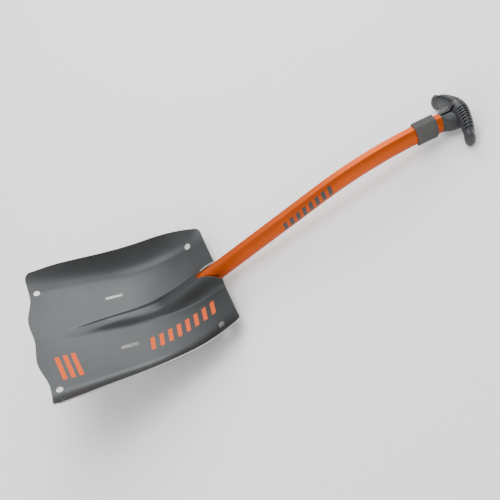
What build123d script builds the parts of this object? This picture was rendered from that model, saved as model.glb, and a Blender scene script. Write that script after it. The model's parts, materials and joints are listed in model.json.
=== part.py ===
from build123d import *
import math
import os

# Avalanche shovel: a pressed aluminium blade with a socket behind it, a curved tube shaft locked into
# that socket by a spring button, a rubber hand stop that slides on the shaft, and a moulded T-grip.
#
# Everything is drawn first in the blade's own frame: the origin is midway between the two front
# corners, +X runs to the grip, +Y across the blade and +Z out of the scoop. The finished pieces are
# then turned and set down so that the shovel lies on its back, on the socket and the grip, with its
# origin under the middle of its bounding box. Lengths are in millimetres and angles in degrees.

# ---------------------------------------------------------------- blade
BLADE_LENGTH = 267.0            # front corners to rear edge
BLADE_HALF_WIDTH = 120.7        # at the widest station
WIDEST_X = 45.0                 # station of the widest point
SIDE_TAPER = 0.062              # half width lost per millimetre behind the widest station
REAR_TUCK_LENGTH = 77.0         # the sides curve further inwards over this length at the rear
REAR_TUCK = 0.0025              # half width lost per square millimetre over that length
SHEET = 2.0                     # blade sheet thickness
FRONT_CORNER_RADIUS = 10.0
REAR_CORNER_RADIUS = 9.0
CORNER_BITE = 0.25              # a corner's arc runs this far over both edges, so it crosses them cleanly

FLOOR_FRONT_Z = -13.0           # floor height at the front edge
FLOOR_REAR_Z = -5.5             # floor height at the rear edge
FLOOR_FRONT_ANGLE = 8.8         # the floor falls away from the front edge at this angle
FLOOR_REAR_ANGLE = 25.0         # and climbs to the rear edge at this angle
FLOOR_RADIUS = 215.0            # arc that joins the two slopes

WING_WIDTH = 33.0               # width of the curved side wing, in plan
WING_NARROWING = 0.09           # wing width lost per millimetre over the rear tuck
WING_SAG = 7.2                  # dip of the wing's free edge at the middle of its length
WING_SAG_START = 30.0           # station where that dip begins
WING_SAG_REAR = -8.0            # distance from its end to the rear edge, negative past the edge
WING_TOP_Z = 0.4                # height of the free edge at both ends

FRONT_WAVE_Y = 35.0             # the front edge has one rounded tooth on each side of the middle
FRONT_WAVE_DEPTH = 9.4          # reach of a tooth in front of the corners
FRONT_WAVE_SIDE = 50.0          # width of a tooth's outer flank
FRONT_WAVE_DIP = 2.9            # depth of the notch between the two teeth
FRONT_WAVE_BLEND = 60.0         # length over which the wave dies out in the sheet

CORNER_HOLE_RADIUS = 4.75
FRONT_HOLE_X = 11.0
FRONT_HOLE_Y = 89.7
REAR_HOLE_INSET = 25.4          # from the rear edge
REAR_HOLE_Y = 80.0
SLOT_LENGTH = 26.0
SLOT_WIDTH = 6.0
SLOT_X = 115.0
SLOT_Y = 48.0

# ---------------------------------------------------------------- ridge and socket
RIDGE_START = 40.0              # the low front part of the ridge begins here
RIDGE_RISE_LENGTH = 100.0
RIDGE_LOW_HEIGHT = 3.0          # height of that low part
RIDGE_HALF_WIDTH = 6.0          # half width of the ridge base at the front edge
RIDGE_WIDENING = 0.079          # half width gained per millimetre
RIDGE_TOP_SHARE = 0.2           # share of the half width that is the rounded top
RIDGE_BLEND = 3.0               # softness of the change from the low to the high part
MOUTH_INSET = 38.0              # tip of the V mouth, from the rear edge
MOUTH_HALF_WIDTH = 19.0         # at the rear edge
MOUTH_TIP_RADIUS = 3.0
SOCKET_GAP = 0.4                # free space all round the shaft in its socket

SOCKET_SHEET = 2.0              # thickness of the socket plate
SOCKET_FLANGE = 13.0            # width of its flanges
SOCKET_TOE = 47.0               # length over which the closed front end deepens
SOCKET_REAR_INSET = 6.0         # from the blade's rear edge
PLATE_SEAT_GAP = 0.25           # sealant film between the plate and the blade

RIVET_RADIUS = 2.0
RIVET_HEAD_RADIUS = 4.0
RIVET_HEAD_HEIGHT = 1.6
RIVET_CLEARANCE = 0.05
RIVETS_PER_SIDE = 3
RIVET_END_DISTANCE = 16.0       # first and last rivet, from the ends of the socket plate

# ---------------------------------------------------------------- shaft
SHAFT_HEIGHT = 27.5             # in the plane of its bend
SHAFT_WIDTH = 20.5              # across
SHAFT_FLAT = 9.0                # width of the narrow flats on its top and bottom
SHAFT_WALL = 1.7
SHAFT_CREASE_RADIUS = 0.8
SHAFT_ANGLE = 26.0              # slope of the straight part above the blade's chord
SHAFT_LINE_Z = -17.8            # height of the centre line at the tip of the V mouth
SHAFT_START_INSET = 95.0        # lower end, from the blade's rear edge
SHAFT_BEND_DISTANCE = 163.0     # start of the bend, from the blade's rear edge
SHAFT_BEND_RADIUS = 570.0
SHAFT_BEND_ANGLE = 19.1         # the bend runs on to the shaft's upper end

PLUG_CAP = 3.0
PLUG_DEPTH = 18.0
PLUG_CLEARANCE = 0.08
PLUG_WALL = 2.2

BUTTON_RADIUS = 4.0
BUTTON_CLEARANCE = 0.3
BUTTON_STAND = 2.4              # how far it stands out of the socket plate
BUTTON_SEAT = 45.0              # from the shaft's lower end, along the shaft
BUTTON_FLANGE_LENGTH = 14.0
BUTTON_FLANGE_THICK = 1.5
BUTTON_EDGE = 1.0
SPRING_STRIP = 0.7
SPRING_WIDTH = 6.5
SPRING_LENGTH = 46.0
SPRING_GAP = 0.05

# ---------------------------------------------------------------- hand stop
STOP_LENGTH = 30.5
STOP_WALL = 2.8
STOP_GAP = 0.3
STOP_EDGE_RADIUS = 1.6
STOP_INSET = 8.5                # from the shaft's upper end

# ---------------------------------------------------------------- T-grip
GRIP_SPAN = 45.0                # middle to the centre of an arm's rounded tip
GRIP_REACH = 29.0               # arms' centre line, from the shaft's end
GRIP_SWEEP = 9.7                # tips lie this much nearer the blade
GRIP_RISE = 9.8                 # middle of the arms above the shaft's centre line
GRIP_DROOP = 13.7               # tips lie this much lower than the middle
ARM_HEIGHT = 13.8               # half height of an arm at the middle
ARM_DEPTH = 12.0                # half depth of an arm at the middle
TIP_DEPTH = 7.5                 # half depth of an arm at its tip
TIP_HEIGHT = 12.6               # half height of an arm at its tip
TIP_LENGTH = 6.4                # rounded end past the tip's centre
NECK_FLARE = 11.0               # half width that the neck gains towards the arms
NECK_FLARE_LENGTH = 8.0         # distance over which it gains most of that
NECK_LENGTH = 24.0              # ends inside the arms
NECK_END_RISE = 2.0
NECK_END_HALF_HEIGHT = 11.5
NECK_SLOT_WIDTH = 3.4
NECK_SLOT_LENGTH = 20.0
NECK_SLOT_DEPTH = 7.0
NECK_SLOT_INSET = 2.0
POCKET_COUNT = 8                # grip pockets in each row of each arm
POCKET_WIDTH = 2.2
POCKET_LENGTH = 6.0
POCKET_DEPTH = 3.5
POCKET_PITCH = 4.2
POCKET_START = 9.0
POCKET_RIB = 2.2
TANG_LENGTH = 42.0
TANG_CLEARANCE = 0.08
PIN_RADIUS = 2.0
PIN_CLEARANCE = 0.05
PIN_INSET = 28.0                # from the shaft's upper end
PIN_RECESS = 0.5                # the pin's ends lie this far under the shaft's surface

GRID_X = 42                     # stations used to draw the pressed sheets
GRID_Y = 84
SURFACE_TOLERANCE = 0.03


# ---------------------------------------------------------------- shapes of the blade
def smooth_step(t):
    """0 before t=0, 1 after t=1, and a cubic between them."""
    t = min(max(t, 0.0), 1.0)
    return t * t * (3 - 2 * t)


def floor_height(x):
    """Two slopes joined by an arc."""
    front = math.radians(FLOOR_FRONT_ANGLE)
    rear = math.radians(FLOOR_REAR_ANGLE)
    drop = FLOOR_FRONT_Z - FLOOR_REAR_Z + BLADE_LENGTH * math.tan(rear)
    meet = drop / (math.tan(front) + math.tan(rear))
    reach = FLOOR_RADIUS * math.tan((front + rear) / 2)
    arc_start = meet - reach * math.cos(front)
    arc_end = meet + reach * math.cos(rear)
    if x <= arc_start:
        return FLOOR_FRONT_Z - x * math.tan(front)
    if x >= arc_end:
        return FLOOR_REAR_Z + (x - BLADE_LENGTH) * math.tan(rear)
    centre_x = arc_start + FLOOR_RADIUS * math.sin(front)
    centre_z = FLOOR_FRONT_Z - arc_start * math.tan(front) + FLOOR_RADIUS * math.cos(front)
    return centre_z - math.sqrt(FLOOR_RADIUS**2 - (x - centre_x) ** 2)


def half_width(x):
    """Plan outline of the blade's sides."""
    behind = max(0.0, x - WIDEST_X)
    tucked = max(0.0, x - (BLADE_LENGTH - REAR_TUCK_LENGTH))
    return BLADE_HALF_WIDTH - SIDE_TAPER * behind - REAR_TUCK * tucked**2


def wing_width(x):
    return WING_WIDTH - WING_NARROWING * max(0.0, x - (BLADE_LENGTH - REAR_TUCK_LENGTH))


def edge_height(x):
    """Height of the wing's free edge: a single shallow wave."""
    span = BLADE_LENGTH - WING_SAG_REAR - WING_SAG_START
    along = min(max((x - WING_SAG_START) / span, 0.0), 1.0)
    return WING_TOP_Z - WING_SAG * math.sin(math.pi * along) ** 2


def plain_height(x, y):
    """Scoop surface without the ridge: the floor, and wings that rise as a parabola."""
    base = floor_height(x)
    up = max(0.0, (abs(y) - half_width(x) + wing_width(x)) / wing_width(x))
    return base + (edge_height(x) - base) * up**2


def shaft_line(x):
    """Height of the straight part's centre line."""
    tip = BLADE_LENGTH - MOUTH_INSET
    return SHAFT_LINE_Z + (x - tip) * math.tan(math.radians(SHAFT_ANGLE))


def upright(size):
    """A size across the shaft's straight part, measured straight up."""
    return size / math.cos(math.radians(SHAFT_ANGLE))


def ridge_base(x):
    return RIDGE_HALF_WIDTH + RIDGE_WIDENING * x


def ridge_height(x):
    """The low front part, or the cover of the shaft where that stands higher."""
    low = RIDGE_LOW_HEIGHT * smooth_step((x - RIDGE_START) / RIDGE_RISE_LENGTH)
    cover = shaft_line(x) + upright(SHAFT_HEIGHT / 2 + SOCKET_GAP + SHEET) - floor_height(x)
    apart = math.sqrt((low - cover) ** 2 + RIDGE_BLEND**2)
    return (low + cover + apart) / 2


def blade_height(x, y):
    """Scoop surface of the blade."""
    top = RIDGE_TOP_SHARE * ridge_base(x)
    flank = smooth_step((abs(y) - top) / (ridge_base(x) - top))
    return plain_height(x, y) + ridge_height(x) * (1 - flank)


def front_edge(y):
    """Reach of the waved front edge before the line of the corners."""
    side = abs(y)
    if side < FRONT_WAVE_Y:
        notch = (1 + math.cos(math.pi * side / FRONT_WAVE_Y)) / 2
        return FRONT_WAVE_DEPTH - FRONT_WAVE_DIP * notch
    fall = min((side - FRONT_WAVE_Y) / FRONT_WAVE_SIDE, 1.0)
    return FRONT_WAVE_DEPTH * (1 + math.cos(math.pi * fall)) / 2


def blade_point(x, y):
    return Vector(x, y, blade_height(x, y))


def blade_normal(x, y):
    """Direction out of the scoop surface, from two short steps on it."""
    step = 0.5
    along = blade_point(x + step, y) - blade_point(x - step, y)
    across = blade_point(x, y + step) - blade_point(x, y - step)
    return along.cross(across).normalized()


def on_blade(x, y):
    """Plane that touches the scoop surface, its z axis out of the scoop and its x axis forwards."""
    normal = blade_normal(x, y)
    return Plane(origin=blade_point(x, y), x_dir=Vector(0, 1, 0).cross(normal), z_dir=normal)


def surface_through(rows):
    return Face.make_surface_from_array_of_points(rows, tol=SURFACE_TOLERANCE, min_deg=3, max_deg=3)


def neighbours(items, i):
    return items[max(i - 1, 0)], items[min(i + 1, len(items) - 1)]


def offset_rows(rows, distance):
    """The same rows of points, moved along the surface's normals and away from the scoop."""
    moved = []
    for i, row in enumerate(rows):
        before, after = neighbours(rows, i)
        moved_row = []
        for j, point in enumerate(row):
            left, right = neighbours(row, j)
            normal = (after[j] - before[j]).cross(right - left).normalized()
            moved_row.append(point - normal * distance)
        moved.append(moved_row)
    return moved


def sheet_between(rows, thickness):
    """Closed sheet: a face through the points, one below it and four ruled edge faces."""
    inner = surface_through(rows)
    outer = surface_through(offset_rows(rows, thickness))
    pairs = zip(inner.edges(), outer.edges())
    sides = [Face.make_surface_from_curves(one, other) for one, other in pairs]
    return Solid(Shell([inner, outer] + sides))


def corner_holes():
    rear = BLADE_LENGTH - REAR_HOLE_INSET
    return [(x, side * y) for x, y in ((FRONT_HOLE_X, FRONT_HOLE_Y), (rear, REAR_HOLE_Y)) for side in (-1, 1)]


def make_blade_sheet():
    rows = []
    for i in range(GRID_X + 1):
        station = BLADE_LENGTH * i / GRID_X
        row = []
        for j in range(GRID_Y + 1):
            y = half_width(station) * (2 * j / GRID_Y - 1)
            fade = max(0.0, 1 - station / FRONT_WAVE_BLEND) ** 2
            x = station - front_edge(y) * fade
            row.append(blade_point(x, y))
        rows.append(row)
    return sheet_between(rows, SHEET)


def mouth_cutter():
    """V opening in the rear of the ridge, through which the shaft comes out."""
    tip = BLADE_LENGTH - MOUTH_INSET
    past = 10.0
    spread = MOUTH_HALF_WIDTH / MOUTH_INSET
    outline = Polyline((tip, 0), (BLADE_LENGTH + past, spread * (MOUTH_INSET + past)),
                       (BLADE_LENGTH + past, -spread * (MOUTH_INSET + past)), close=True)
    face = make_face(outline)
    point = face.vertices().sort_by(Axis.X)[0]
    face = fillet(point, MOUTH_TIP_RADIUS)
    return extrude(Pos(0, 0, -60) * face, 120)


def corner_chip(corner, along_side, along_end, radius):
    """What a rounded corner takes off the sheet, seen from above, as an upright prism."""
    half = math.radians(along_side.get_angle(along_end)) / 2
    centre = corner + (along_side + along_end).normalized() * ((radius - CORNER_BITE) / math.sin(half))
    reach = radius / math.tan(half)
    outside = corner + (corner - centre)
    kite = make_face(Polyline(outside, corner + along_side * reach, centre, corner + along_end * reach, close=True))
    chip = kite - Pos(centre.X, centre.Y) * Circle(radius)
    return extrude(Pos(0, 0, -60) * chip, 120)


def corner_chips():
    step = 1.0
    slope = (half_width(BLADE_LENGTH) - half_width(BLADE_LENGTH - step)) / step
    chips = []
    for side in (-1, 1):
        inwards = Vector(0, -side, 0)
        front = Vector(0, side * half_width(0), 0)
        chips.append(corner_chip(front, Vector(1, 0, 0), inwards, FRONT_CORNER_RADIUS))
        rear = Vector(BLADE_LENGTH, side * half_width(BLADE_LENGTH), 0)
        forwards = Vector(-1, -side * slope, 0).normalized()
        chips.append(corner_chip(rear, forwards, inwards, REAR_CORNER_RADIUS))
    return chips


def make_blade():
    blade = make_blade_sheet()
    for chip in corner_chips():
        blade -= chip
    blade -= mouth_cutter()
    for x, y in corner_holes():
        blade -= on_blade(x, y) * Cylinder(CORNER_HOLE_RADIUS, 6 * SHEET)
    for y in (-SLOT_Y, SLOT_Y):
        slot = extrude(SlotOverall(SLOT_LENGTH, SLOT_WIDTH), 3 * SHEET, both=True)
        blade -= on_blade(SLOT_X, y) * slot
    for x, y in rivet_places():
        blade -= on_blade(x, y) * Cylinder(RIVET_RADIUS + RIVET_CLEARANCE, 6 * SHEET)
    return blade


# ---------------------------------------------------------------- socket plate and rivets
def socket_ends():
    rear = BLADE_LENGTH - SOCKET_REAR_INSET
    front = BLADE_LENGTH - SHAFT_START_INSET - SOCKET_TOE
    return front, rear


def rivet_places():
    front, rear = socket_ends()
    first = front + RIVET_END_DISTANCE
    step = (rear - RIVET_END_DISTANCE - first) / (RIVETS_PER_SIDE - 1)
    stations = [first + i * step for i in range(RIVETS_PER_SIDE)]
    return [(x, side * (ridge_base(x) + SOCKET_FLANGE / 2)) for x in stations for side in (-1, 1)]


def seat_point(x, y):
    """Point of the floor's underside, lowered by the film under the socket plate."""
    step = 0.5
    slope = (floor_height(x + step) - floor_height(x - step)) / (2 * step)
    along = Vector(-slope, 0, 1).normalized()
    return Vector(x, y, floor_height(x)) - along * (SHEET + PLATE_SEAT_GAP)


def channel_depth(x):
    """Depth of the socket plate's channel below its flanges."""
    front, _ = socket_ends()
    bottom = shaft_line(x) - upright(SHAFT_HEIGHT / 2 + SOCKET_GAP)
    return (seat_point(x, 0).Z - bottom) * smooth_step((x - front) / SOCKET_TOE)


def make_socket_plate():
    front, rear = socket_ends()
    rows = []
    for i in range(GRID_X + 1):
        x = front + (rear - front) * i / GRID_X
        row = []
        for j in range(GRID_Y + 1):
            y = (ridge_base(x) + SOCKET_FLANGE) * (2 * j / GRID_Y - 1)
            seat = seat_point(x, y)
            top = RIDGE_TOP_SHARE * ridge_base(x)
            flank = smooth_step((abs(y) - top) / (ridge_base(x) - top))
            row.append(seat - Vector(0, 0, channel_depth(x) * (1 - flank)))
        rows.append(row)
    plate = sheet_between(rows, SOCKET_SHEET)
    for x, y in rivet_places():
        plate -= on_blade(x, y) * Cylinder(RIVET_RADIUS + RIVET_CLEARANCE, 12 * SHEET)
    hole = Cylinder(BUTTON_RADIUS + BUTTON_CLEARANCE, SHAFT_HEIGHT, align=(Align.CENTER, Align.CENTER, Align.MAX))
    return plate - button_plane() * hole


def make_rivets():
    """Flush on the scoop side, with a domed head against the socket plate."""
    grip_length = SHEET + PLATE_SEAT_GAP + SOCKET_SHEET
    bottom = (Align.CENTER, Align.CENTER, Align.MAX)
    shank = Cylinder(RIVET_RADIUS, grip_length, align=bottom)
    dome_radius = (RIVET_HEAD_RADIUS**2 + RIVET_HEAD_HEIGHT**2) / (2 * RIVET_HEAD_HEIGHT)
    dome = Pos(0, 0, -grip_length + dome_radius - RIVET_HEAD_HEIGHT) * Sphere(dome_radius)
    below = Pos(0, 0, -grip_length) * Cylinder(2 * RIVET_HEAD_RADIUS, 4 * RIVET_HEAD_HEIGHT, align=bottom)
    rivet = shank + (dome & below)
    return Compound([(on_blade(x, y) * rivet).solid() for x, y in rivet_places()])


# ---------------------------------------------------------------- shaft
def shaft_section(shrink=0.0):
    """Flats on top and bottom joined by arcs, inset by a wall."""
    flat = SHAFT_FLAT / 2
    height = SHAFT_HEIGHT / 2
    bulge = SHAFT_WIDTH / 2
    side = ThreePointArc((flat, height), (bulge, 0), (flat, -height))
    other = ThreePointArc((-flat, -height), (-bulge, 0), (-flat, height))
    outline = [Line((-flat, height), (flat, height)), side, Line((flat, -height), (-flat, -height)), other]
    face = make_face(outline)
    if shrink:
        face = offset(face, -shrink, kind=Kind.INTERSECTION)
    return fillet(face.vertices(), SHAFT_CREASE_RADIUS)


def straight_point(distance, lift=0.0):
    """Point at a distance along the straight part from the shaft's lower end, lifted off its axis."""
    start_x = BLADE_LENGTH - SHAFT_START_INSET
    angle = math.radians(SHAFT_ANGLE)
    x = start_x + distance * math.cos(angle) - lift * math.sin(angle)
    return Vector(x, 0, shaft_line(start_x) + distance * math.sin(angle) + lift * math.cos(angle))


def straight_length():
    run = SHAFT_START_INSET + SHAFT_BEND_DISTANCE
    return run / math.cos(math.radians(SHAFT_ANGLE))


def bend_centre():
    """The bend curves downwards, so its centre lies under the shaft."""
    return straight_point(straight_length(), -SHAFT_BEND_RADIUS)


def bend_point(angle, lift=0.0):
    """Point of the bend, turned by an angle from its start, lifted off the centre line."""
    direction = math.radians(90 + SHAFT_ANGLE - angle)
    radius = SHAFT_BEND_RADIUS + lift
    return bend_centre() + Vector(math.cos(direction), 0, math.sin(direction)) * radius


def across_shaft(point, slope):
    """Plane across the shaft: its x axis is the width and its y axis the height."""
    angle = math.radians(slope)
    return Plane(origin=point, x_dir=(0, -1, 0), z_dir=(math.cos(angle), 0, math.sin(angle)))


def degrees_along(length):
    """Turn of the bend over a length of its centre line."""
    return math.degrees(length / SHAFT_BEND_RADIUS)


def bend_stretch(section, from_angle, to_angle):
    """A section carried along the bend between two angles."""
    start = across_shaft(bend_point(from_angle), SHAFT_ANGLE - from_angle) * section
    turning = Axis(bend_centre(), (0, 1, 0))
    return revolve(start, axis=turning, revolution_arc=to_angle - from_angle)


def straight_stretch(section, start, length):
    return extrude(across_shaft(straight_point(start), SHAFT_ANGLE) * section, length)


def whole_shaft(section):
    return straight_stretch(section, 0, straight_length()) + bend_stretch(section, 0, SHAFT_BEND_ANGLE)


def button_plane():
    """On the shaft's axis, with z towards the scoop side, square to the shaft."""
    angle = math.radians(SHAFT_ANGLE)
    return Plane(origin=straight_point(BUTTON_SEAT), x_dir=(math.cos(angle), 0, math.sin(angle)),
                 z_dir=(-math.sin(angle), 0, math.cos(angle)))


def pin_plane():
    """On the bend's centre line near its end, with z across the shaft."""
    angle = SHAFT_BEND_ANGLE - degrees_along(PIN_INSET)
    return Plane(origin=bend_point(angle), x_dir=(1, 0, 0), z_dir=(0, 1, 0))


def make_shaft():
    tube = whole_shaft(shaft_section()) - whole_shaft(shaft_section(SHAFT_WALL))
    hole = Cylinder(BUTTON_RADIUS + BUTTON_CLEARANCE, SHAFT_HEIGHT, align=(Align.CENTER, Align.CENTER, Align.MAX))
    tube -= button_plane() * hole
    return tube - pin_plane() * Cylinder(PIN_RADIUS + PIN_CLEARANCE, 2 * SHAFT_WIDTH)


def make_shaft_foot_plug():
    """Plastic cap over the lower end, with a hollow skirt inside the tube."""
    cap = straight_stretch(shaft_section(), -PLUG_CAP, PLUG_CAP)
    skirt = straight_stretch(shaft_section(SHAFT_WALL + PLUG_CLEARANCE), 0, PLUG_DEPTH)
    hollow = straight_stretch(shaft_section(SHAFT_WALL + PLUG_CLEARANCE + PLUG_WALL), 0, PLUG_DEPTH)
    return cap + (skirt - hollow)


# ---------------------------------------------------------------- blade lock
def button_flange_bottom():
    return -(SHAFT_HEIGHT / 2 - SHAFT_WALL) + SPRING_GAP


def make_blade_lock_button():
    """A round button on a flange that rests inside the tube's narrow lower flat."""
    reach = SHAFT_HEIGHT / 2 + SOCKET_GAP + SOCKET_SHEET + BUTTON_STAND
    top = button_flange_bottom()
    stem = Cylinder(BUTTON_RADIUS, reach + top, align=(Align.CENTER, Align.CENTER, Align.MIN))
    stem = fillet(stem.edges().sort_by(Axis.Z)[0], BUTTON_EDGE)
    flange_width = SHAFT_FLAT - 2 * SHAFT_WALL
    flange = Box(BUTTON_FLANGE_LENGTH, flange_width, BUTTON_FLANGE_THICK,
                 align=(Align.CENTER, Align.CENTER, Align.MIN))
    return button_plane() * (Pos(0, 0, -reach) * stem + Pos(0, 0, top) * flange)


def make_blade_lock_spring():
    """A folded strip: one leg lies on the button's flange, the other under the tube's top."""
    low = button_flange_bottom() + BUTTON_FLANGE_THICK + SPRING_GAP
    high = SHAFT_HEIGHT / 2 - SHAFT_WALL - SPRING_GAP
    half = BUTTON_FLANGE_LENGTH / 2
    bend = (high - low) / 2
    far = half + SPRING_LENGTH
    middle = (high + low) / 2
    lower = [Line((-half, low), (half, low)), Line((half, low), (far - bend, middle - bend / 2))]
    nose = ThreePointArc((far - bend, middle - bend / 2), (far - bend / 2, middle), (far - bend, middle + bend / 2))
    upper = [Line((far - bend, middle + bend / 2), (half, high)), Line((half, high), (-half, high))]
    centre = Wire(lower + [nose] + upper)
    strip = offset(centre, SPRING_STRIP, side=Side.LEFT, closed=True)
    face = Plane.XZ * make_face(strip)
    return button_plane() * extrude(face, SPRING_WIDTH / 2, both=True)


# ---------------------------------------------------------------- hand stop
def make_hand_stop():
    """Rubber sleeve that follows the shaft's bend."""
    last = SHAFT_BEND_ANGLE - degrees_along(STOP_INSET)
    first = last - degrees_along(STOP_LENGTH)
    sleeve = bend_stretch(offset(shaft_section(), STOP_GAP + STOP_WALL), first, last)
    ends = [e for f in sleeve.faces().filter_by(GeomType.PLANE) for e in f.edges()]
    sleeve = fillet(ends, STOP_EDGE_RADIUS)
    return sleeve - bend_stretch(offset(shaft_section(), STOP_GAP), first - 1, last + 1)


# ---------------------------------------------------------------- T-grip
def grip_frame():
    """At the shaft's upper end: x runs on along the shaft, y across and z to the scoop side."""
    angle = math.radians(SHAFT_ANGLE - SHAFT_BEND_ANGLE)
    return Plane(origin=bend_point(SHAFT_BEND_ANGLE), x_dir=(math.cos(angle), 0, math.sin(angle)),
                 z_dir=(-math.sin(angle), 0, math.cos(angle)))


def arm_centre(y):
    """Centre line of the arms: it sweeps back and droops towards the tips."""
    share = min(abs(y) / GRIP_SPAN, 1.0)
    return GRIP_REACH - GRIP_SWEEP * share**2, GRIP_RISE - GRIP_DROOP * share**2


def arm_radii(y):
    """Half depth and half height of an arm, closing as a ball past the tip's centre."""
    share = min(abs(y) / GRIP_SPAN, 1.0)
    past = min(max(abs(y) - GRIP_SPAN, 0.0) / TIP_LENGTH, 1.0)
    close = math.sqrt(1 - past**2)
    depth = ARM_DEPTH + (TIP_DEPTH - ARM_DEPTH) * share
    height = ARM_HEIGHT + (TIP_HEIGHT - ARM_HEIGHT) * share
    return depth * close, height * close


def make_arms():
    """Ellipses across the arms, from tip to tip."""
    shares = [0.0, 0.3, 0.6, 0.85, 1.0]
    past = [0.35, 0.62, 0.82, 0.94, 0.985]
    side = [GRIP_SPAN * s for s in shares] + [GRIP_SPAN + TIP_LENGTH * p for p in past]
    stations = [-y for y in reversed(side[1:])] + side
    sections = []
    for y in stations:
        along, up = arm_centre(y)
        depth, height = arm_radii(y)
        plane = Plane(origin=(along, y, up), x_dir=(1, 0, 0), z_dir=(0, 1, 0))
        sections.append(plane * Ellipse(depth, height))
    return loft(sections)


def neck_section(half_width, half_height, flat, along, up):
    """Flats on top and bottom joined by arcs, like the shaft, at a distance past its end."""
    side = ThreePointArc((flat, half_height), (half_width, 0), (flat, -half_height))
    other = ThreePointArc((-flat, -half_height), (-half_width, 0), (-flat, half_height))
    outline = [Line((-flat, half_height), (flat, half_height)), side,
               Line((flat, -half_height), (-flat, -half_height)), other]
    face = make_face(outline)
    face = fillet(face.vertices(), SHAFT_CREASE_RADIUS)
    return Plane(origin=(along, 0, up), x_dir=(0, -1, 0), z_dir=(1, 0, 0)) * face


def make_neck():
    """Starts flush with the shaft and widens fast at first into the arms."""
    sections = []
    for share in (0.0, 0.12, 0.3, 0.6, 1.0):
        along = NECK_LENGTH * share
        half = SHAFT_WIDTH / 2 + NECK_FLARE * (1 - math.exp(-along / NECK_FLARE_LENGTH))
        height = SHAFT_HEIGHT / 2 + (NECK_END_HALF_HEIGHT - SHAFT_HEIGHT / 2) * share
        sections.append(neck_section(half, height, SHAFT_FLAT / 2, along, NECK_END_RISE * share))
    return loft(sections)


def grip_pockets():
    """Two rows of short slots in the top of each arm, either side of a rib."""
    boxes = []
    for i in range(POCKET_COUNT):
        y = POCKET_START + i * POCKET_PITCH
        along, up = arm_centre(y)
        depth, height = arm_radii(y)
        length = POCKET_LENGTH * depth / ARM_DEPTH
        shape = Box(length, POCKET_WIDTH, 30, align=(Align.CENTER, Align.CENTER, Align.MIN))
        for row in (-1, 1):
            x = along + row * (POCKET_RIB + length) / 2
            lift = math.sqrt(1 - ((x - along) / depth) ** 2) * height
            for side in (-1, 1):
                boxes.append(Pos(x, side * y, up + lift - POCKET_DEPTH) * shape)
    return boxes


def make_t_grip():
    handle = make_neck() + make_arms()
    slot = Box(NECK_SLOT_LENGTH, NECK_SLOT_WIDTH, 30, align=(Align.MIN, Align.CENTER, Align.MIN))
    handle -= Pos(NECK_SLOT_INSET, 0, SHAFT_HEIGHT / 2 - NECK_SLOT_DEPTH) * slot
    handle -= grip_pockets()
    first = SHAFT_BEND_ANGLE - degrees_along(TANG_LENGTH)
    tang = bend_stretch(shaft_section(SHAFT_WALL + TANG_CLEARANCE), first, SHAFT_BEND_ANGLE)
    grip = grip_frame() * handle + tang
    return grip - pin_plane() * Cylinder(PIN_RADIUS + PIN_CLEARANCE, 2 * SHAFT_WIDTH)


def make_grip_pin():
    return pin_plane() * Cylinder(PIN_RADIUS, SHAFT_WIDTH - 2 * PIN_RECESS)


# ---------------------------------------------------------------- setting down and writing
def lowest(piece, angle):
    return piece.rotate(Axis.Y, angle).bounding_box().min.Z


def lying_angle(heel, grip):
    """Turn about the width that brings the socket and the grip down to one floor."""
    angles = [SHAFT_ANGLE - FLOOR_FRONT_ANGLE, SHAFT_ANGLE]
    gaps = [lowest(heel, a) - lowest(grip, a) for a in angles]
    for _ in range(6):
        if abs(gaps[-1]) < 0.001:
            break
        slope = (gaps[-1] - gaps[-2]) / (angles[-1] - angles[-2])
        angles.append(angles[-1] - gaps[-1] / slope)
        gaps.append(lowest(heel, angles[-1]) - lowest(grip, angles[-1]))
    return angles[-1]


def set_down(pieces):
    """All pieces turned onto their back, with the origin under the middle of their box."""
    angle = lying_angle(pieces["socket_plate"], pieces["t_grip"])
    turned = {name: piece.rotate(Axis.Y, angle) for name, piece in pieces.items()}
    boxes = [piece.bounding_box() for piece in turned.values()]
    middle = (min(b.min.X for b in boxes) + max(b.max.X for b in boxes)) / 2
    floor = min(b.min.Z for b in boxes)
    return {name: Pos(-middle, 0, -floor) * piece for name, piece in turned.items()}


def main():
    pieces = {
        "blade": make_blade(),
        "socket_plate": make_socket_plate(),
        "socket_rivets": make_rivets(),
        "shaft": make_shaft(),
        "shaft_foot_plug": make_shaft_foot_plug(),
        "blade_lock_button": make_blade_lock_button(),
        "blade_lock_spring": make_blade_lock_spring(),
        "hand_stop": make_hand_stop(),
        "t_grip": make_t_grip(),
        "grip_pin": make_grip_pin(),
    }
    os.makedirs("parts", exist_ok=True)
    for name, piece in set_down(pieces).items():
        export_step(piece, f"parts/{name}.step")


if __name__ == "__main__":
    main()
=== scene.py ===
import json
import math

import bpy
import numpy as np
from bpy.props import FloatProperty, FloatVectorProperty, IntProperty, PointerProperty
from mathutils import Matrix, Vector


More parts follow.
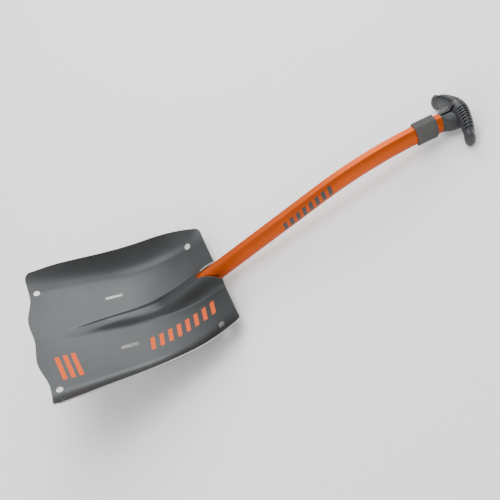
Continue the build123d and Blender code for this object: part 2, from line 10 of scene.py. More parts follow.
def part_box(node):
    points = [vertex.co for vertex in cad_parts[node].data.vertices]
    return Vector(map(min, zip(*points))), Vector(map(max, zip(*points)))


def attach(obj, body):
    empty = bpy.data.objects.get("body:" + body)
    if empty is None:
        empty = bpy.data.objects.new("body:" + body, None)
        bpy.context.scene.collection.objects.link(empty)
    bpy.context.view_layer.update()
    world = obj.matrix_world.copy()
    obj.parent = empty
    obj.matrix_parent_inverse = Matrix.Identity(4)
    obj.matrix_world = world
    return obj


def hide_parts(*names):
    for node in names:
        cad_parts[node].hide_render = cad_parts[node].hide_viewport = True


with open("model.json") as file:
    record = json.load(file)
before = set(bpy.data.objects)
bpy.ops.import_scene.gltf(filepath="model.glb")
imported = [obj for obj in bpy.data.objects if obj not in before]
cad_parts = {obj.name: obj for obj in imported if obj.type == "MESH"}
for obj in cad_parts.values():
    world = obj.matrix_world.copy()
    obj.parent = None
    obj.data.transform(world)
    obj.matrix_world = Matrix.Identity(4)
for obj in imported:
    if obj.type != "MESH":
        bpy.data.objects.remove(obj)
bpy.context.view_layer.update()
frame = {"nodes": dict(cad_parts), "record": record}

bl_info = {
    "name": "Avalanche Shovel",
    "version": (1, 0, 0),
    "blender": (4, 5, 0),
    "location": "3D View > Sidebar > Shovel",
    "description": "Pressed snow blade, anodised shaft, rubber hand stop and T-grip",
    "category": "Object",
}

MM = 0.001

# The blade's own frame: millimetres, origin midway between the front corners, x to the grip,
# z out of the scoop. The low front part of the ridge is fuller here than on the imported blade.
LENGTH = 267.0
HALF_WIDTH = 120.7
WIDEST_X = 45.0
SIDE_TAPER = 0.062
TUCK_LENGTH = 77.0
TUCK = 0.0025
SHEET = 2.0
FRONT_CORNER_RADIUS = 10.0
REAR_CORNER_RADIUS = 9.0
FLOOR_FRONT_Z = -13.0
FLOOR_REAR_Z = -5.5
FLOOR_FRONT_ANGLE = 8.8
FLOOR_REAR_ANGLE = 25.0
FLOOR_RADIUS = 215.0
WING_WIDTH = 33.0
WING_NARROWING = 0.09
WING_SAG = 7.2
WING_SAG_START = 30.0
WING_SAG_REAR = -8.0
WING_TOP_Z = 0.4
WAVE_Y = 35.0
WAVE_DEPTH = 9.4
WAVE_SIDE = 50.0
WAVE_DIP = 2.9
WAVE_BLEND = 60.0
HOLE_RADIUS = 4.75
FRONT_HOLE = (11.0, 89.7)
REAR_HOLE = (241.6, 80.0)
SLOT_LENGTH = 26.0
SLOT_WIDTH = 6.0
SLOT_PLACE = (115.0, 48.0)
RIDGE_START = 30.0
RIDGE_RISE = 85.0
RIDGE_LOW = 6.5
RIDGE_BASE = 6.0
RIDGE_WIDENING = 0.079
RIDGE_TOP_SHARE = 0.2
RIDGE_BLEND = 3.0
MOUTH_INSET = 38.0
MOUTH_HALF_WIDTH = 19.0
MOUTH_TIP_RADIUS = 3.0
SHAFT_COVER = 16.15             # shaft's half height, the gap round it and the sheet
SHAFT_ANGLE = 26.0
SHAFT_LINE_Z = -17.8

# How finely the sheet is worked out and cut, in millimetres.
SLOPE_STEP = 0.3                # half span of a slope taken on the surface
CUT_STEP = 0.02                 # half span of a slope taken on the cut distance
CUT_ROUNDS = 5
LEAST_SLOPE_SQUARED = 0.05
LONGEST_MOVE = 1.0
KEPT_SHARE = 0.3                # share of a grid cell that may overhang a cut
WELL_INSIDE = -99.0
PLAN_UNIT = 10.0                # millimetres to one unit of the plan map

# Plain printed rows of slanted bars: on the blade in plan units, on the shaft in metres.
LONG_ROW = {"start": 13.6, "pitch": 1.35, "count": 8, "width": 0.62, "height": 2.0, "slant": 0.25}
LONG_ROW_TILT = math.radians(6.0)
LONG_ROW_OFFSET = 7.05
SHORT_ROW = {"start": 1.6, "pitch": 1.1, "count": 3, "width": 0.6, "height": 4.0, "slant": -0.12}
SHORT_ROW_OFFSET = 5.6
SHAFT_ROW = {"start": 0.0, "pitch": 0.0112, "count": 8, "width": 0.0062, "height": 0.0145,
             "slant": 0.3}
SHAFT_ROW_MIDDLE = (408.5, 0.0, 71.0)   # in the blade's frame
SHAFT_ROW_HALF_LENGTH = 0.045
SHAFT_ROW_SIDE = -0.006                 # printed only on the side beyond this y

# Drawn grain: how often it repeats per metre along x, y and z.
SHEET_GRAIN = (260.0, 2400.0, 900.0)
TUBE_GRAIN = (60.0, 2200.0, 2200.0)
RIVET_GRAIN = (900.0, 900.0, 900.0)
CLOUD = (0.35, 0.7)             # noise levels between which a cloud of tone fades in
DUST = (0.4, 0.75)

SENSOR_WIDTH = 36.0
CLIP = (0.05, 50.0)
MIDDLE = (0, 0, 0.05)
# Name, place, point that it is aimed at and side, in metres.
LAMPS = (("key", (0.25, 0.35, 1.9), MIDDLE, 1.6),
         ("fill", (-1.6, -1.1, 1.2), (-0.1, 0, 0.05), 1.2),
         ("back", (0.7, 1.8, 1.1), MIDDLE, 1.0))


# ---------------------------------------------------------------- shapes
def smooth_step(t):
    """3t^2 - 2t^3 between 0 and 1, flat outside."""
    t = np.clip(t, 0.0, 1.0)
    return t * t * (3 - 2 * t)


def floor_height(x):
    """Slope down, an arc of radius FLOOR_RADIUS, slope up."""
    front, rear = math.radians(FLOOR_FRONT_ANGLE), math.radians(FLOOR_REAR_ANGLE)
    drop = FLOOR_FRONT_Z - FLOOR_REAR_Z + LENGTH * math.tan(rear)
    meet = drop / (math.tan(front) + math.tan(rear))
    reach = FLOOR_RADIUS * math.tan((front + rear) / 2)
    start, end = meet - reach * math.cos(front), meet + reach * math.cos(rear)
    centre_x = start + FLOOR_RADIUS * math.sin(front)
    centre_z = FLOOR_FRONT_Z - start * math.tan(front) + FLOOR_RADIUS * math.cos(front)
    arc = centre_z - np.sqrt(np.maximum(FLOOR_RADIUS**2 - (x - centre_x) ** 2, 0))
    down = FLOOR_FRONT_Z - x * math.tan(front)
    up = FLOOR_REAR_Z + (x - LENGTH) * math.tan(rear)
    return np.where(x <= start, down, np.where(x >= end, up, arc))


def half_width(x):
    """Widest at WIDEST_X, then a straight taper and a parabolic tuck."""
    tucked = np.maximum(0.0, x - (LENGTH - TUCK_LENGTH))
    return HALF_WIDTH - SIDE_TAPER * np.maximum(0.0, x - WIDEST_X) - TUCK * tucked**2


def wing_width(x):
    """Constant, then a straight narrowing over the tuck."""
    return WING_WIDTH - WING_NARROWING * np.maximum(0.0, x - (LENGTH - TUCK_LENGTH))


def edge_height(x):
    """Free edge of the wing: a squared sine dip along its length."""
    along = np.clip((x - WING_SAG_START) / (LENGTH - WING_SAG_REAR - WING_SAG_START), 0, 1)
    return WING_TOP_Z - WING_SAG * np.sin(math.pi * along) ** 2


def ridge_base(x):
    """Half width of the ridge, growing in a straight line."""
    return RIDGE_BASE + RIDGE_WIDENING * x


def ridge_height(x):
    """Smooth maximum of a low rib and the cover of the shaft's socket."""
    low = RIDGE_LOW * smooth_step((x - RIDGE_START) / RIDGE_RISE)
    angle = math.radians(SHAFT_ANGLE)
    line = SHAFT_LINE_Z + (x - (LENGTH - MOUTH_INSET)) * math.tan(angle)
    cover = line + SHAFT_COVER / math.cos(angle) - floor_height(x)
    return (low + cover + np.sqrt((low - cover) ** 2 + RIDGE_BLEND**2)) / 2


def blade_height(x, y):
    """Floor, wings that rise as a parabola, and the ridge with smooth-step flanks."""
    base = floor_height(x)
    up = np.maximum(0.0, (np.abs(y) - half_width(x) + wing_width(x)) / wing_width(x))
    top = RIDGE_TOP_SHARE * ridge_base(x)
    flank = smooth_step((np.abs(y) - top) / (ridge_base(x) - top))
    return base + (edge_height(x) - base) * up**2 + ridge_height(x) * (1 - flank)


def front_edge(y):
    """Two rounded teeth, each a half cosine on both flanks."""
    side = np.abs(y)
    notch = (1 + np.cos(math.pi * side / WAVE_Y)) / 2
    fall = np.clip((side - WAVE_Y) / WAVE_SIDE, 0, 1)
    flank = WAVE_DEPTH * (1 + np.cos(math.pi * fall)) / 2
    return np.where(side < WAVE_Y, WAVE_DEPTH - WAVE_DIP * notch, flank)


def surface(x, y):
    """Points of the scoop surface and its unit normals, from central differences."""
    step = SLOPE_STEP
    point = np.stack([x, y, blade_height(x, y)], axis=-1)
    rise_x = (blade_height(x + step, y) - blade_height(x - step, y)) / (2 * step)
    rise_y = (blade_height(x, y + step) - blade_height(x, y - step)) / (2 * step)
    normal = np.stack([-rise_x, -rise_y, np.ones_like(x)], axis=-1)
    return point, normal / np.linalg.norm(normal, axis=-1, keepdims=True)


def spot(x, y):
    """A place on the blade: its point, its normal and two directions along the sheet."""
    point, normal = surface(np.array(float(x)), np.array(float(y)))
    along = np.cross([0.0, 1.0, 0.0], normal)
    along /= np.linalg.norm(along)
    return point, normal, along, np.cross(normal, along)


def corner_cut(x, y, corner, side_dir, end_dir, radius):
    """Distance outside a corner's arc, only in the wedge beyond its centre."""
    side_dir, end_dir = np.array(side_dir), np.array(end_dir)
    half = math.acos(float(side_dir @ end_dir)) / 2
    bisector = (side_dir + end_dir) / np.linalg.norm(side_dir + end_dir)
    centre = np.array(corner) + bisector * radius / math.sin(half)
    dx, dy = x - centre[0], y - centre[1]
    past_side = dx * side_dir[0] + dy * side_dir[1]
    past_end = dx * end_dir[0] + dy * end_dir[1]
    inside = (past_side < 0) & (past_end < 0)
    return np.where(inside, np.hypot(dx, dy) - radius, WELL_INSIDE)


def cut_distance(x, y):
    """Signed distance to everything cut from the sheet: over 0 is cut away."""
    point = np.stack([x, y, blade_height(x, y)], axis=-1)
    cuts = []
    for side in (-1, 1):
        for hx, hy in (FRONT_HOLE, REAR_HOLE):
            place, _, along, across = spot(hx, side * hy)
            offset = point - place
            cuts.append(HOLE_RADIUS - np.hypot(offset @ along, offset @ across))
        place, _, along, across = spot(SLOT_PLACE[0], side * SLOT_PLACE[1])
        offset = point - place
        run = np.maximum(np.abs(offset @ along) - (SLOT_LENGTH - SLOT_WIDTH) / 2, 0)
        cuts.append(SLOT_WIDTH / 2 - np.hypot(run, offset @ across))
        front = (0.0, side * half_width(0.0))
        cuts.append(corner_cut(x, y, front, (1.0, 0.0), (0.0, -side), FRONT_CORNER_RADIUS))
        slope = float(half_width(LENGTH - 1.0) - half_width(LENGTH))
        rear = (LENGTH, side * float(half_width(LENGTH)))
        back = np.array([-1.0, side * slope])
        back /= np.linalg.norm(back)
        cuts.append(corner_cut(x, y, rear, tuple(back), (0.0, -side), REAR_CORNER_RADIUS))
    spread = math.atan(MOUTH_HALF_WIDTH / MOUTH_INSET)
    tip = LENGTH - MOUTH_INSET
    round_x = tip + MOUTH_TIP_RADIUS / math.sin(spread)
    straight = (x - tip) * math.sin(spread) - np.abs(y) * math.cos(spread)
    rounded = MOUTH_TIP_RADIUS - np.hypot(x - round_x, y)
    cuts.append(np.where(x < round_x - MOUTH_TIP_RADIUS * math.sin(spread), rounded, straight))
    return np.max(cuts, axis=0)


def snapped(x, y, chosen):
    """Newton steps that carry the chosen points onto the line where the cut distance is 0."""
    px, py = x[chosen], y[chosen]
    step = CUT_STEP
    for _ in range(CUT_ROUNDS):
        here = cut_distance(px, py)
        gx = (cut_distance(px + step, py) - cut_distance(px - step, py)) / (2 * step)
        gy = (cut_distance(px, py + step) - cut_distance(px, py - step)) / (2 * step)
        size = np.maximum(gx**2 + gy**2, LEAST_SLOPE_SQUARED)
        px = px - np.clip(here / size * gx, -LONGEST_MOVE, LONGEST_MOVE)
        py = py - np.clip(here / size * gy, -LONGEST_MOVE, LONGEST_MOVE)
    x[chosen], y[chosen] = px, py


def sheet_outline(stations, columns):
    """Grid of plan points inside the outline, and the quads left after the cuts."""
    s = np.linspace(0, LENGTH, stations + 1)[:, None]
    share = np.linspace(-1, 1, columns + 1)[None, :]
    y = half_width(s) * share
    x = s - front_edge(y) * np.maximum(0.0, 1 - s / WAVE_BLEND) ** 2
    x, y = x.ravel(), y.ravel()
    number = np.arange(x.size).reshape(stations + 1, columns + 1)
    quads = np.stack([number[:-1, :-1], number[1:, :-1], number[1:, 1:], number[:-1, 1:]], axis=-1)
    quads = quads.reshape(-1, 4)
    cell = LENGTH / stations
    gone = (cut_distance(x, y) > KEPT_SHARE * cell)[quads].any(axis=1)
    beside = np.intersect1d(quads[gone], quads[~gone])
    snapped(x, y, beside)
    return x, y, quads[~gone]


def closed_sheet(x, y, quads):
    """Top points, the same points one sheet lower along the normals, and a rim round every edge."""
    point, normal = surface(x, y)
    used, renumbered = np.unique(quads, return_inverse=True)
    quads = renumbered.reshape(quads.shape)
    top, low = point[used], point[used] - SHEET * normal[used]
    count = len(used)
    sides = np.concatenate([quads[:, [a, (a + 1) % 4]] for a in range(4)])
    key = sides[:, 0] * count + sides[:, 1]
    back = sides[:, 1] * count + sides[:, 0]
    rim = sides[~np.isin(key, back)]
    walls = np.stack([rim[:, 1], rim[:, 0], rim[:, 0] + count, rim[:, 1] + count], axis=-1)
    faces = np.concatenate([quads, quads[:, ::-1] + count, walls])
    slots = np.concatenate([np.zeros(2 * len(quads), int), np.ones(len(walls), int)])
    plan = np.stack([x[used], y[used]], axis=-1)
    return np.concatenate([top, low]), faces, slots, np.concatenate([plan, plan])


def turn_and_shift():
    """Turn about y and shift that carry the blade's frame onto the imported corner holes."""
    mounts = {m["name"]: np.array(m["pos_m"]) / MM for m in frame["record"]["mounts"]}
    packed = [mounts["front_hole_plus_y"], mounts["rear_hole_plus_y"]]
    drawn = []
    for hx, hy in (FRONT_HOLE, REAR_HOLE):
        place, normal, _, _ = spot(hx, hy)
        drawn.append(place - normal * SHEET / 2)
    before, after = drawn[1] - drawn[0], packed[1] - packed[0]
    turn = math.atan2(before[2], before[0]) - math.atan2(after[2], after[0])
    cos, sin = math.cos(turn), math.sin(turn)
    turned = np.array([[cos, 0, sin], [0, 1, 0], [-sin, 0, cos]])
    return turned, packed[0] - turned @ drawn[0]


TURN, SHIFT = turn_and_shift()


def laid(points):
    """Blade-frame millimetres to the object's metres."""
    return (np.asarray(points) @ TURN.T + SHIFT) * MM


# ---------------------------------------------------------------- shader maths
class Socket:
    """A shader value whose operators add Math nodes."""

    def __init__(self, maker, link):
        self.maker, self.link = maker, link

    def math(self, operation, *others):
        node = self.maker.node("ShaderNodeMath", {"operation": operation}, self, *others)
        return node.out(0)

    def __add__(self, other):
        return self.math("ADD", other)

    def __sub__(self, other):
        return self.math("SUBTRACT", other)

    def __rsub__(self, other):
        return self.maker.node("ShaderNodeMath", {"operation": "SUBTRACT"}, other, self).out(0)

    def __mul__(self, other):
        return self.math("MULTIPLY", other)

    def __truediv__(self, other):
        return self.math("DIVIDE", other)

    def __lt__(self, other):
        return self.math("LESS_THAN", other)

    def __gt__(self, other):
        return self.math("GREATER_THAN", other)

    __radd__, __rmul__ = __add__, __mul__

    def between(self, low, high):
        """1 between two levels."""
        return (self > low) * (self < high)

    def ramp(self, low, high):
        """0 at low, 1 at high."""
        settings = {"interpolation_type": "SMOOTHSTEP"}
        return self.maker.node("ShaderNodeMapRange", settings, self, low, high, 0.0, 1.0).out(0)


class Made:
    """A node whose outputs come back as shader values."""

    def __init__(self, maker, data):
        self.maker, self.data = maker, data

    def out(self, name):
        return Socket(self.maker, self.data.outputs[name])


class Finish:
    """One material: a Principled shader and the nodes that feed it."""

    def __init__(self, name):
        self.material = bpy.data.materials.new(name)
        self.material.use_nodes = True
        self.tree = self.material.node_tree
        self.shader = self.tree.nodes["Principled BSDF"]
        self.place = self.node("ShaderNodeTexCoord").out("Object")

    def node(self, kind, settings=None, *values, **named):
        """Any node: its settings first, then its sockets by number or by name."""
        data = self.tree.nodes.new(kind)
        for key, value in (settings or {}).items():
            setattr(data, key, value)
        for key, value in list(enumerate(values)) + list(named.items()):
            self.feed(data.inputs[key], value)
        return Made(self, data)

    def feed(self, socket, value):
        if isinstance(value, Socket):
            self.tree.links.new(value.link, socket)
        elif value is not None:
            socket.default_value = value

    def set(self, name, value):
        self.feed(self.shader.inputs[name], value)

    def noise(self, scale, detail=2.0, place=None):
        return self.node("ShaderNodeTexNoise", None, Vector=place or self.place,
                         Scale=scale, Detail=detail).out("Fac")

    def stretched(self, scale):
        """Object coordinates, stretched."""
        return self.node("ShaderNodeMapping", {"vector_type": "POINT"}, Vector=self.place,
                         Scale=scale).out(0)

    def grain(self, scale):
        """Noise drawn out along the piece."""
        return self.noise(1.0, 2.0, self.stretched(scale))

    def mixed(self, factor, one, other):
        """One colour at factor 0, the other at 1."""
        node = self.node("ShaderNodeMix", {"data_type": "RGBA"})
        for name, value in (("Factor_Float", factor), ("A_Color", one), ("B_Color", other)):
            socket = next(s for s in node.data.inputs if s.identifier == name)
            self.feed(socket, value)
        return Socket(self, next(s for s in node.data.outputs if s.identifier == "Result_Color"))

    def along(self, direction, source=None):
        """Distance along a direction, from Object coordinates or another vector."""
        node = self.node("ShaderNodeVectorMath", {"operation": "DOT_PRODUCT"},
                         source or self.place, direction)
        return node.out("Value")

    def attribute(self, name):
        return self.node("ShaderNodeAttribute", {"attribute_name": name}).out("Fac")

    def bump(self, height, depth, strength=1.0):
        node = self.node("ShaderNodeBump", None, Strength=strength, Distance=depth, Height=height)
        self.set("Normal", node.out(0))

    def bars(self, run, rise, start, pitch, count, width, height, slant):
        """Row of equal slanted bars, 1 inside a bar."""
        cell = (run - rise * slant - start) / pitch
        inside = cell.between(0.0, float(count)) * (cell.math("FRACT") < width / pitch)
        return inside * rise.between(-height / 2, height / 2)


def colour(value):
    """Opaque colour."""
    return (value[0], value[1], value[2], 1.0)


def shade(value, factor):
    """Opaque colour, made lighter or darker."""
    return (value[0] * factor, value[1] * factor, value[2] * factor, 1.0)


def blade_finish(settings):
    """Dark satin anodising: soft cloud of tone, fine drawn grain, and printed plain ticks."""
    made = Finish("blade_anodised")
    plan = made.node("ShaderNodeUVMap", {"uv_map": "plan"}).out(0)
    x, y = made.along((1.0, 0.0, 0.0), plan), made.along((0.0, 1.0, 0.0), plan)
    cloud, grain, tone = made.noise(9.0, 3.0), made.grain(SHEET_GRAIN), settings.blade_colour
    base = made.mixed(cloud.ramp(*CLOUD), shade(tone, 0.9), shade(tone, 1.1))
    cos, sin = math.cos(LONG_ROW_TILT), math.sin(LONG_ROW_TILT)
    long_row = made.bars(x * cos + y * sin, y * cos - x * sin + LONG_ROW_OFFSET, **LONG_ROW)
    short_row = made.bars(x, y + SHORT_ROW_OFFSET, **SHORT_ROW)
    print_mask = (long_row + short_row) * made.attribute("scoop_side")
    made.set("Base Color", made.mixed(print_mask, base, colour(settings.print_colour)))
    made.set("Metallic", 0.9 - print_mask * 0.5)
    made.set("Roughness", 0.38 + cloud * 0.05 + grain * 0.05 + print_mask * 0.25)
    made.bump(grain, 0.00004, 0.35)
    return made.material


def bare_finish(settings):
    """Cut edge of the sheet, bright with faint shear marks."""
    made = Finish("blade_cut_edge")
    marks, tone = made.noise(900.0, 2.0), settings.edge_colour
    made.set("Base Color", made.mixed(marks, shade(tone, 0.8), colour(tone)))
    made.set("Metallic", 0.95)
    made.set("Roughness", 0.28 + marks * 0.15)
    made.bump(marks, 0.00003, 0.4)
    return made.material


def anodised_finish(name, tone, roughness, grain_scale):
    """Satin anodised metal with a drawn grain."""
    made = Finish(name)
    grain, cloud = made.grain(grain_scale), made.noise(14.0, 2.0)
    made.set("Base Color", made.mixed(cloud.ramp(*CLOUD), shade(tone, 0.92), shade(tone, 1.06)))
    made.set("Metallic", 0.85)
    made.set("Roughness", roughness + grain * 0.08)
    made.bump(grain, 0.00003, 0.3)
    return made.material


def shaft_finish(settings):
    """Orange anodising, drawn along the tube, with a plain grey tick row on the near side."""
    made = Finish("shaft_anodised")
    grain, cloud, tone = made.grain(TUBE_GRAIN), made.noise(11.0, 2.0), settings.shaft_colour
    base = made.mixed(cloud.ramp(*CLOUD), shade(tone, 0.93), shade(tone, 1.05))
    cos, sin = math.cos(settings.tick_angle), math.sin(settings.tick_angle)
    middle = laid(SHAFT_ROW_MIDDLE)
    first = float(middle[0] * cos + middle[2] * sin - SHAFT_ROW_HALF_LENGTH)
    level = float(middle[2] * cos - middle[0] * sin)
    run, rise = made.along((cos, 0.0, sin)), made.along((-sin, 0.0, cos))
    near = made.along((0.0, 1.0, 0.0)) < SHAFT_ROW_SIDE
    mask = made.bars(run - first, rise - level, **SHAFT_ROW) * near
    made.set("Base Color", made.mixed(mask, base, colour(settings.tick_colour)))
    made.set("Metallic", 1.0 - mask * 0.8)
    made.set("Roughness", 0.45 + grain * 0.08)
    made.bump(grain, 0.00003, 0.3)
    return made.material


def rubber_finish(settings):
    """Matte rubber with a fine moulded grain and faint dust."""
    made = Finish("stop_rubber")
    fine, dust = made.noise(1600.0, 3.0), made.noise(60.0, 3.0)
    tone = settings.rubber_colour
    made.set("Base Color", made.mixed(dust.ramp(*DUST), colour(tone), shade(tone, 1.25)))
    made.set("Roughness", 0.72 + dust * 0.15)
    made.bump(fine, 0.00008, 0.5)
    return made.material


def moulded_finish(name, tone, roughness=0.45):
    """Moulded plastic: fine spark-eroded texture and slight tone clouds."""
    made = Finish(name)
    fine, cloud = made.noise(1300.0, 3.0), made.noise(30.0, 2.0)
    made.set("Base Color", made.mixed(cloud.ramp(*CLOUD), shade(tone, 0.88), shade(tone, 1.15)))
    made.set("Roughness", roughness + cloud * 0.12)
    made.bump(fine, 0.00006, 0.45)
    return made.material


def steel_finish(name, tone):
    """Tumbled stainless steel."""
    made = Finish(name)
    marks = made.noise(700.0, 3.0)
    made.set("Base Color", made.mixed(marks, shade(tone, 0.85), colour(tone)))
    made.set("Metallic", 1.0)
    made.set("Roughness", 0.25 + marks * 0.2)
    made.bump(marks, 0.00003, 0.3)
    return made.material


def stage_finish(settings):
    """Pale matte paper."""
    made = Finish("floor_paper")
    tooth, tone = made.noise(400.0, 3.0), settings.floor_colour
    made.set("Base Color", made.mixed(tooth, shade(tone, 0.995), colour(tone)))
    made.set("Roughness", 0.9)
    return made.material


# ---------------------------------------------------------------- sizes and colours
class ShovelSettings(bpy.types.PropertyGroup):
    stations: IntProperty(name="Stations", description="Grid rows along the blade",
                          default=196, min=40, max=230)
    columns: IntProperty(name="Columns", description="Grid columns across the blade",
                         default=182, min=40, max=210)
    edge_angle: FloatProperty(
        name="Edge angle", description="Edges sharper than this are shaded crisp",
        default=math.radians(42), subtype="ANGLE")
    blade_colour: FloatVectorProperty(
        name="Blade", description="Anodised blade sheet",
        default=(0.06, 0.063, 0.065), subtype="COLOR")
    edge_colour: FloatVectorProperty(
        name="Cut edge", description="Bare cut edge of the sheet",
        default=(0.62, 0.62, 0.61), subtype="COLOR")
    print_colour: FloatVectorProperty(
        name="Blade ticks", description="Printed ticks on the blade",
        default=(0.72, 0.1, 0.01), subtype="COLOR")
    shaft_colour: FloatVectorProperty(
        name="Shaft", description="Anodised shaft",
        default=(0.5, 0.082, 0.012), subtype="COLOR")
    tick_colour: FloatVectorProperty(
        name="Shaft ticks", description="Printed ticks on the shaft",
        default=(0.05, 0.042, 0.038), subtype="COLOR")
    tick_angle: FloatProperty(
        name="Tick angle", description="Slope of the tick row",
        default=math.radians(7.0), subtype="ANGLE")
    rubber_colour: FloatVectorProperty(
        name="Hand stop", description="Hand stop rubber",
        default=(0.055, 0.054, 0.052), subtype="COLOR")
    grip_colour: FloatVectorProperty(
        name="Grip", description="Moulded grip",
        default=(0.02, 0.022, 0.025), subtype="COLOR")
    plug_colour: FloatVectorProperty(
        name="Foot plug", description="Moulded foot plug",
        default=(0.02, 0.02, 0.02), subtype="COLOR")
    steel_colour: FloatVectorProperty(
        name="Steel", description="Button, spring and pin",
        default=(0.6, 0.6, 0.6), subtype="COLOR")


class StageSettings(bpy.types.PropertyGroup):
    floor_colour: FloatVectorProperty(
        name="Floor", description="Floor paper",
        default=(0.97, 0.97, 0.97), subtype="COLOR")
    floor_size: FloatProperty(
        name="Floor size", description="Side of the floor",
        default=12.0, subtype="DISTANCE")
    camera_place: FloatVectorProperty(
        name="Camera", description="Camera in the blade's frame, in metres",
        default=(0.14291, -0.72514, 0.82891), subtype="XYZ")
    camera_aim: FloatVectorProperty(
        name="Aim", description="Point the camera looks at, in the blade's frame",
        default=(0.32147, 0.01685, 0.0), subtype="XYZ")
    camera_roll: FloatProperty(
        name="Roll", description="Turn of the camera about its own line of sight",
        default=math.radians(9.5066), subtype="ANGLE")
    lens: FloatProperty(
        name="Lens", description="Focal length in millimetres", default=55.8, unit="CAMERA")
    key_power: FloatProperty(
        name="Key light", description="Large soft light above",
        default=30.0, subtype="POWER")
    fill_power: FloatProperty(
        name="Fill light", description="Soft light from the front left",
        default=16.0, subtype="POWER")
    back_power: FloatProperty(
        name="Back light", description="Soft light from behind",
        default=30.0, subtype="POWER")
    world_level: FloatProperty(
        name="Surroundings", description="Brightness of the surroundings", default=0.85)


# ---------------------------------------------------------------- pieces
def settings_of(context):
    """The shovel's sizes and colours."""
    return context.scene.shovel_settings


def dress(node, material):
    """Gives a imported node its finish."""
    if node not in frame["nodes"]:
        raise RuntimeError("the packed model has no node " + node)
    slots = frame["nodes"][node].data.materials
    if len(slots) == 0:
        slots.append(material)
    for index in range(len(slots)):
        slots[index] = material


def checked(name, box, tolerance=0.004):
    """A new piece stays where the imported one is."""
    low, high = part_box(name)
    gap = max(np.abs(np.array(low) - box[0]).max(), np.abs(np.array(high) - box[1]).max())
    if gap > tolerance:
        raise RuntimeError("%s is %.4f m from its packed node" % (name, gap))


class SHOVEL_OT_blade(bpy.types.Operator):
    """Pressed blade sheet with its cut edges"""
    bl_idname = "shovel.blade"
    bl_label = "Blade"

    def execute(self, context):
        settings = settings_of(context)
        x, y, quads = sheet_outline(settings.stations, settings.columns)
        points, faces, slots, plan = closed_sheet(x, y, quads)
        points = laid(points)
        checked("blade", (points.min(axis=0), points.max(axis=0)))
        mesh = bpy.data.meshes.new("blade_sheet")
        mesh.from_pydata(points.tolist(), [], faces.tolist())
        mesh.polygons.foreach_set("material_index", slots.astype(np.int32))
        corner = np.empty(len(mesh.loops), np.int32)
        mesh.loops.foreach_get("vertex_index", corner)
        layer = mesh.uv_layers.new(name="plan")
        layer.data.foreach_set("uv", (plan[corner] / PLAN_UNIT).ravel().astype(np.float32))
        scoop_side = np.arange(len(points)) < len(points) // 2
        top = mesh.attributes.new("scoop_side", "FLOAT", "POINT")
        top.data.foreach_set("value", scoop_side.astype(np.float32))
        mesh.materials.append(blade_finish(settings))
        mesh.materials.append(bare_finish(settings))
        mesh.shade_smooth()
        mesh.set_sharp_from_angle(angle=settings.edge_angle)
        piece = bpy.data.objects.new("blade_sheet", mesh)
        context.scene.collection.objects.link(piece)
        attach(piece, "shovel")
        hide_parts("blade")
        return {"FINISHED"}


class SHOVEL_OT_socket(bpy.types.Operator):
    """Socket plate behind the blade and its rivets"""
    bl_idname = "shovel.socket"
    bl_label = "Socket plate and rivets"

    def execute(self, context):
        tone = settings_of(context).blade_colour
        plate = anodised_finish("socket_anodised", tone, 0.42, SHEET_GRAIN)
        rivets = anodised_finish("rivet_anodised", shade(tone, 1.2), 0.35, RIVET_GRAIN)
        dress("socket_plate", plate)
        dress("socket_rivets", rivets)
        return {"FINISHED"}


class SHOVEL_OT_shaft(bpy.types.Operator):
    """Curved tube and the plug in its lower end"""
    bl_idname = "shovel.shaft"
    bl_label = "Shaft and plug"

    def execute(self, context):
        settings = settings_of(context)
        dress("shaft", shaft_finish(settings))
        dress("shaft_foot_plug", moulded_finish("plug_moulded", settings.plug_colour))
        return {"FINISHED"}


class SHOVEL_OT_lock(bpy.types.Operator):
    """Spring button of the blade lock and the grip's pin"""
    bl_idname = "shovel.lock"
    bl_label = "Blade lock and pin"

    def execute(self, context):
        tone = settings_of(context).steel_colour
        dress("blade_lock_button", steel_finish("button_steel", tone))
        dress("blade_lock_spring", steel_finish("spring_steel", shade(tone, 0.8)))
        dress("grip_pin", steel_finish("pin_steel", tone))
        return {"FINISHED"}


class SHOVEL_OT_hand_stop(bpy.types.Operator):
    """Rubber collar that slides on the shaft"""
    bl_idname = "shovel.hand_stop"
    bl_label = "Hand stop"

    def execute(self, context):
        dress("hand_stop", rubber_finish(settings_of(context)))
        return {"FINISHED"}


class SHOVEL_OT_grip(bpy.types.Operator):
    """Moulded T-grip"""
    bl_idname = "shovel.grip"
    bl_label = "T-grip"

    def execute(self, context):
        dress("t_grip", moulded_finish("grip_moulded", settings_of(context).grip_colour, 0.4))
        return {"FINISHED"}


def add_light(context, name, place, aim, size, power):
    """Square soft light at a place, aimed at a point."""
    data = bpy.data.lights.new(name, "AREA")
    data.shape, data.size, data.energy = "SQUARE", size, power
    lamp = bpy.data.objects.new(name, data)
    lamp.location = place
    lamp.rotation_euler = (Vector(aim) - Vector(place)).to_track_quat("-Z", "Y").to_euler()
    context.scene.collection.objects.link(lamp)


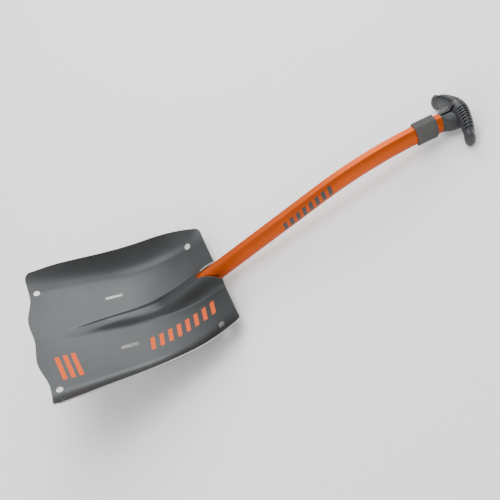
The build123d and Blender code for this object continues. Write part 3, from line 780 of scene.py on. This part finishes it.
class SHOVEL_OT_stage(bpy.types.Operator):
    """Floor, lights, surroundings and camera"""
    bl_idname = "shovel.stage"
    bl_label = "Stage"

    def execute(self, context):
        stage = context.scene.shovel_stage
        half = stage.floor_size / 2
        mesh = bpy.data.meshes.new("floor")
        mesh.from_pydata([(-half, -half, 0), (half, -half, 0), (half, half, 0), (-half, half, 0)],
                         [], [(0, 1, 2, 3)])
        mesh.materials.append(stage_finish(stage))
        floor = bpy.data.objects.new("floor", mesh)
        context.scene.collection.objects.link(floor)
        for name, place, aim, size in LAMPS:
            add_light(context, name, place, aim, size, getattr(stage, name + "_power"))
        world = bpy.data.worlds.new("surroundings")
        world.use_nodes = True
        sky = world.node_tree.nodes["Background"]
        sky.inputs["Color"].default_value = (1.0, 1.0, 1.0, 1.0)
        sky.inputs["Strength"].default_value = stage.world_level
        context.scene.world = world
        self.add_camera(context, stage)
        return {"FINISHED"}

    def add_camera(self, context, stage):
        """Looks from its place to its aim, rolled about the line of sight in the blade's frame."""
        place = np.array(stage.camera_place) / MM
        forward = np.array(stage.camera_aim) / MM - place
        forward /= np.linalg.norm(forward)
        level = np.cross(forward, [0.0, 0.0, 1.0])
        level /= np.linalg.norm(level)
        down = np.cross(forward, level)
        roll = stage.camera_roll
        right = level * math.cos(roll) + down * math.sin(roll)
        below = np.cross(forward, right)
        axes = np.stack([TURN @ right, -(TURN @ below), -(TURN @ forward)], axis=1)
        data = bpy.data.cameras.new("camera")
        data.lens, data.sensor_width = stage.lens, SENSOR_WIDTH
        data.clip_start, data.clip_end = CLIP
        camera = bpy.data.objects.new("camera", data)
        camera.matrix_world = Matrix.Translation(laid(place)) @ Matrix(axes.tolist()).to_4x4()
        context.scene.collection.objects.link(camera)
        context.scene.camera = camera


class SHOVEL_PT_panel(bpy.types.Panel):
    bl_label = "Avalanche Shovel"
    bl_idname = "SHOVEL_PT_panel"
    bl_space_type = "VIEW_3D"
    bl_region_type = "UI"
    bl_category = "Shovel"

    def draw(self, context):
        for group in (context.scene.shovel_settings, context.scene.shovel_stage):
            box = self.layout.box()
            for name in group.__annotations__:
                box.prop(group, name)
        for step in STEPS:
            self.layout.operator(step.bl_idname)


STEPS = (SHOVEL_OT_blade, SHOVEL_OT_socket, SHOVEL_OT_shaft, SHOVEL_OT_lock,
         SHOVEL_OT_hand_stop, SHOVEL_OT_grip, SHOVEL_OT_stage)
CLASSES = (ShovelSettings, StageSettings) + STEPS + (SHOVEL_PT_panel,)


def register():
    for item in CLASSES:
        bpy.utils.register_class(item)
    bpy.types.Scene.shovel_settings = PointerProperty(type=ShovelSettings)
    bpy.types.Scene.shovel_stage = PointerProperty(type=StageSettings)


def unregister():
    del bpy.types.Scene.shovel_settings
    del bpy.types.Scene.shovel_stage
    for item in reversed(CLASSES):
        bpy.utils.unregister_class(item)


def main():
    """Registers the classes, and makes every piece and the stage."""
    register()
    for step in STEPS:
        group, name = step.bl_idname.split(".")
        getattr(getattr(bpy.ops, group), name)()


if __name__ == "__main__":
    main()
